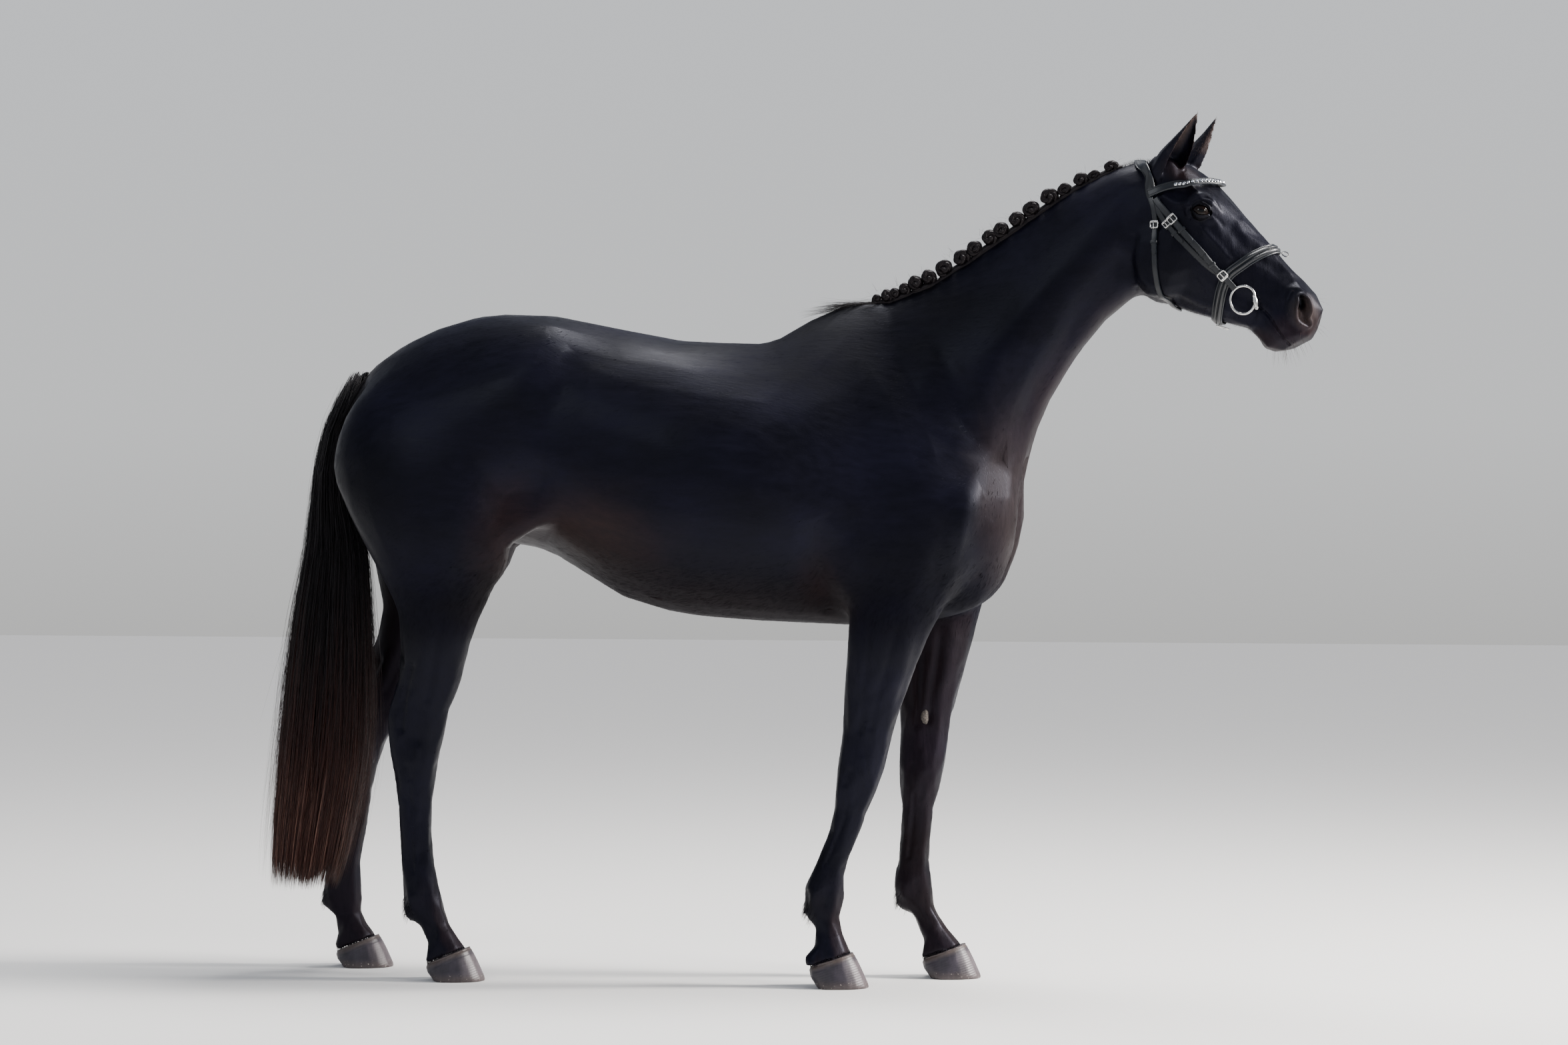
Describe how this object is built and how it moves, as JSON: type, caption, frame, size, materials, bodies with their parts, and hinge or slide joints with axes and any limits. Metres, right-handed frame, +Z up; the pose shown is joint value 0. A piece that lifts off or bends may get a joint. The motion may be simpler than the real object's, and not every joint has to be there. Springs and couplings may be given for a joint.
{
  "type": "horse",
  "caption": "Life-size still model of a standing dark bay horse, head up and turned a little to its right, mane rolled in plaits, tail hanging, in a snaffle bridle without reins.",
  "frame": {"origin": "on the ground under the middle of the whole box", "axes": "+X the way the horse faces, +Y its left, +Z up"},
  "size_m": [2.649, 0.6102, 2.1319],
  "materials": {
    "coat": "short glossy hair, near black with a blue cast and brown in the thin places",
    "tail_hair": "long hair, black above and red brown below",
    "hoof_horn": "grey horn, paler at the hairline",
    "eye": "wet dark eye",
    "leather": "black bridle leather",
    "steel": "polished",
    "crystal": "clear square stones on the browband"
  },
  "bodies": {
    "root": {"trunk": "coat", "neck": "coat", "head": "coat", "ear_left": "coat", "ear_right": "coat", "fore_left_forearm": "coat", "fore_left_cannon": "coat", "fore_left_pastern": "coat", "fore_right_forearm": "coat", "fore_right_cannon": "coat", "fore_right_pastern": "coat", "hind_left_thigh": "coat", "hind_left_cannon": "coat", "hind_left_pastern": "coat", "hind_right_thigh": "coat", "hind_right_cannon": "coat", "hind_right_pastern": "coat", "fore_left_hoof": "hoof_horn", "fore_right_hoof": "hoof_horn", "hind_left_hoof": "hoof_horn", "hind_right_hoof": "hoof_horn", "eye_left": "eye", "eye_right": "eye", "tail": "tail_hair", "plait_01": "tail_hair", "plait_02": "tail_hair", "plait_03": "tail_hair", "plait_04": "tail_hair", "plait_05": "tail_hair", "plait_06": "tail_hair", "plait_07": "tail_hair", "plait_08": "tail_hair", "plait_09": "tail_hair", "crownpiece": "leather", "browband": "leather", "noseband": "leather", "throatlash": "leather", "cheekpiece_left": "leather", "cheekpiece_right": "leather", "bit_strap_left": "leather", "bit_strap_right": "leather", "nose_strap_left": "leather", "nose_strap_right": "leather", "bit_ring_left": "steel", "bit_ring_right": "steel", "cheek_buckle_left": "steel", "cheek_buckle_right": "steel", "nose_buckle_left": "steel", "nose_buckle_right": "steel", "throat_buckle_left": "steel", "throat_buckle_right": "steel", "bit_buckle_left": "steel", "bit_buckle_right": "steel", "noseband_buckle": "steel", "flash_ring": "steel"}
  },
  "joints": []
}
